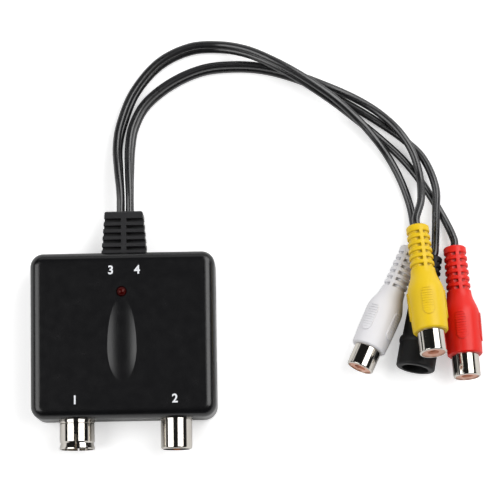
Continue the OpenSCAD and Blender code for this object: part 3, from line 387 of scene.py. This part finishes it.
def make_lead(name):
    """A round vinyl lead, one open spline, that stands for the CAD lead."""
    line = smooth_route([mm(*point) for point in LEADS[name]])
    data = bpy.data.curves.new(name + "_lead", "CURVE")
    data.dimensions = "3D"
    data.bevel_depth = mm(LEAD_DIAMETER) / 2
    data.bevel_resolution = LEAD_ROUNDNESS
    data.use_fill_caps = True
    spline = data.splines.new("POLY")
    spline.points.add(len(line) - 1)
    for point, place in zip(spline.points, line):
        point.co = (*place, 1)
    spline.use_smooth = True
    data.materials.append(CORD_VINYL)
    lead = add_object(name + "_lead", data)
    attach(lead, "root")
    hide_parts(name + "_cord")


for lead_name in LEADS:
    make_lead(lead_name)


# Port numbers on the top face

# The flat face that carries the print, below the crest of the leaf
TOP_FACE = 15.6
INK_THICKNESS = 0.02
# How far the ink spreads beyond the font's thin strokes
INK_SPREAD = 0.08
NUMERAL_HEIGHT = 2.6
# The font's size for a numeral of height 1
FONT_SIZE_FOR_HEIGHT = 1.4
# Each numeral and the middle of its place on the top face
NUMERALS = {"1": (-14.5, -21.6), "2": (15.6, -21.6), "3": (-3.4, 17.6), "4": (4.6, 17.6)}


def make_numeral(text, x, y):
    """A plain printed port number, as a thin layer of ink on the face."""
    data = bpy.data.curves.new("port_number_" + text, "FONT")
    data.body = text
    data.align_x = "CENTER"
    data.align_y = "CENTER"
    data.size = mm(NUMERAL_HEIGHT) * FONT_SIZE_FOR_HEIGHT
    data.offset = mm(INK_SPREAD)
    data.extrude = mm(INK_THICKNESS) / 2
    data.materials.append(INK)
    numeral = add_object("port_number_" + text, data)
    numeral.location = mm(x, y, TOP_FACE + INK_THICKNESS / 2)
    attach(numeral, "root")


for numeral_text, (numeral_x, numeral_y) in NUMERALS.items():
    make_numeral(numeral_text, numeral_x, numeral_y)


# Floor, surroundings and light: lengths in metres

SCENE_MIDDLE = Vector((0.038, 0.025, 0.0))

FLOOR_SIDE = 2.0
# Just under the object, so that the two flat faces don't fight for the same pixels
FLOOR_LEVEL = -0.00005
FLOOR_COLOUR = (0.9, 0.9, 0.9, 1)
FLOOR_ROUGHNESS = 0.9
# Added for the camera only, to bring the lit floor up to white
FLOOR_GLOW = 0.42

# Strength of the surroundings that light matt surfaces
WORLD_FILL = 0.25
# Heights, as the sine of the angle above the horizon, between which reflections go from white to ceiling
CEILING_STARTS = 0.06
CEILING_FULL = 0.22
CEILING_COLOUR = (0.015, 0.015, 0.015, 1)

SOFTBOX_DISTANCE = 0.9
# Each light leans from overhead towards +X and +Y, and turns clockwise as seen from above by its spin
SOFTBOXES = {
    "left_softbox": {"lean_x": -42, "lean_y": -6, "spin": 0, "width": 0.66, "length": 0.7, "radiance": 2.65},
    "right_softbox": {"lean_x": 38, "lean_y": 24, "spin": 24, "width": 0.62, "length": 1.08, "radiance": 3.4},
    "back_softbox": {"lean_x": 0, "lean_y": 62, "spin": 0, "width": 0.9, "length": 0.3, "radiance": 0.7},
}


def make_floor():
    """A wide white floor that keeps the object's shadow."""
    mesh = bpy.data.meshes.new("floor")
    shape = bmesh.new()
    bmesh.ops.create_grid(shape, x_segments=1, y_segments=1, size=FLOOR_SIDE / 2)
    shape.to_mesh(mesh)
    shape.free()
    material, tree, shader = new_material("floor_white")
    shader.inputs["Base Color"].default_value = FLOOR_COLOUR
    shader.inputs["Roughness"].default_value = FLOOR_ROUGHNESS
    shader.inputs["Specular IOR Level"].default_value = 0.0
    shader.inputs["Emission Color"].default_value = WHITE
    path = add_node(tree, "ShaderNodeLightPath")
    glow = add_node(tree, "ShaderNodeMath", {1: FLOOR_GLOW})
    glow.operation = "MULTIPLY"
    tree.links.new(path.outputs["Is Camera Ray"], glow.inputs[0])
    tree.links.new(glow.outputs[0], shader.inputs["Emission Strength"])
    mesh.materials.append(material)
    floor = add_object("floor", mesh)
    floor.location = SCENE_MIDDLE + Vector((0, 0, FLOOR_LEVEL))


def make_world():
    """White to the camera. Reflections find white surroundings low down and a dark ceiling."""
    world = bpy.data.worlds.new("studio")
    bpy.context.scene.world = world
    world.use_nodes = True
    tree = world.node_tree
    tree.nodes.clear()
    output = add_node(tree, "ShaderNodeOutputWorld")
    white = add_node(tree, "ShaderNodeBackground", {"Color": WHITE, "Strength": 1.0})
    fill = add_node(tree, "ShaderNodeBackground", {"Color": WHITE, "Strength": WORLD_FILL})
    room = add_node(tree, "ShaderNodeBackground", {"Strength": 1.0})

    direction = add_node(tree, "ShaderNodeTexCoord")
    height = add_node(tree, "ShaderNodeSeparateXYZ")
    ramp = add_node(tree, "ShaderNodeValToRGB")
    low, high = ramp.color_ramp.elements
    low.position = CEILING_STARTS
    low.color = WHITE
    high.position = CEILING_FULL
    high.color = CEILING_COLOUR
    tree.links.new(direction.outputs["Generated"], height.inputs[0])
    tree.links.new(height.outputs["Z"], ramp.inputs["Fac"])
    tree.links.new(ramp.outputs["Color"], room.inputs["Color"])

    path = add_node(tree, "ShaderNodeLightPath")
    lighting = add_node(tree, "ShaderNodeMixShader")
    tree.links.new(path.outputs["Is Glossy Ray"], lighting.inputs["Fac"])
    tree.links.new(fill.outputs[0], lighting.inputs[1])
    tree.links.new(room.outputs[0], lighting.inputs[2])

    seen = add_node(tree, "ShaderNodeMath")
    seen.operation = "MAXIMUM"
    backdrop = add_node(tree, "ShaderNodeMixShader")
    tree.links.new(path.outputs["Is Camera Ray"], seen.inputs[0])
    tree.links.new(path.outputs["Is Transmission Ray"], seen.inputs[1])
    tree.links.new(seen.outputs[0], backdrop.inputs["Fac"])
    tree.links.new(lighting.outputs[0], backdrop.inputs[1])
    tree.links.new(white.outputs[0], backdrop.inputs[2])
    tree.links.new(backdrop.outputs[0], output.inputs["Surface"])


def make_softbox(name, lean_x, lean_y, spin, width, length, radiance):
    """An area light that faces the object, as bright as radiance whatever its size."""
    data = bpy.data.lights.new(name, "AREA")
    data.shape = "RECTANGLE"
    data.size = width
    data.size_y = length
    data.energy = radiance * math.pi * width * length
    light = add_object(name, data)
    away = direction_from_overhead(lean_x, lean_y)
    light.matrix_world = place_facing(SCENE_MIDDLE, away, SOFTBOX_DISTANCE, -spin)


make_floor()
make_world()
for softbox_name, softbox in SOFTBOXES.items():
    make_softbox(softbox_name, **softbox)

bpy.context.scene.view_settings.view_transform = "Standard"
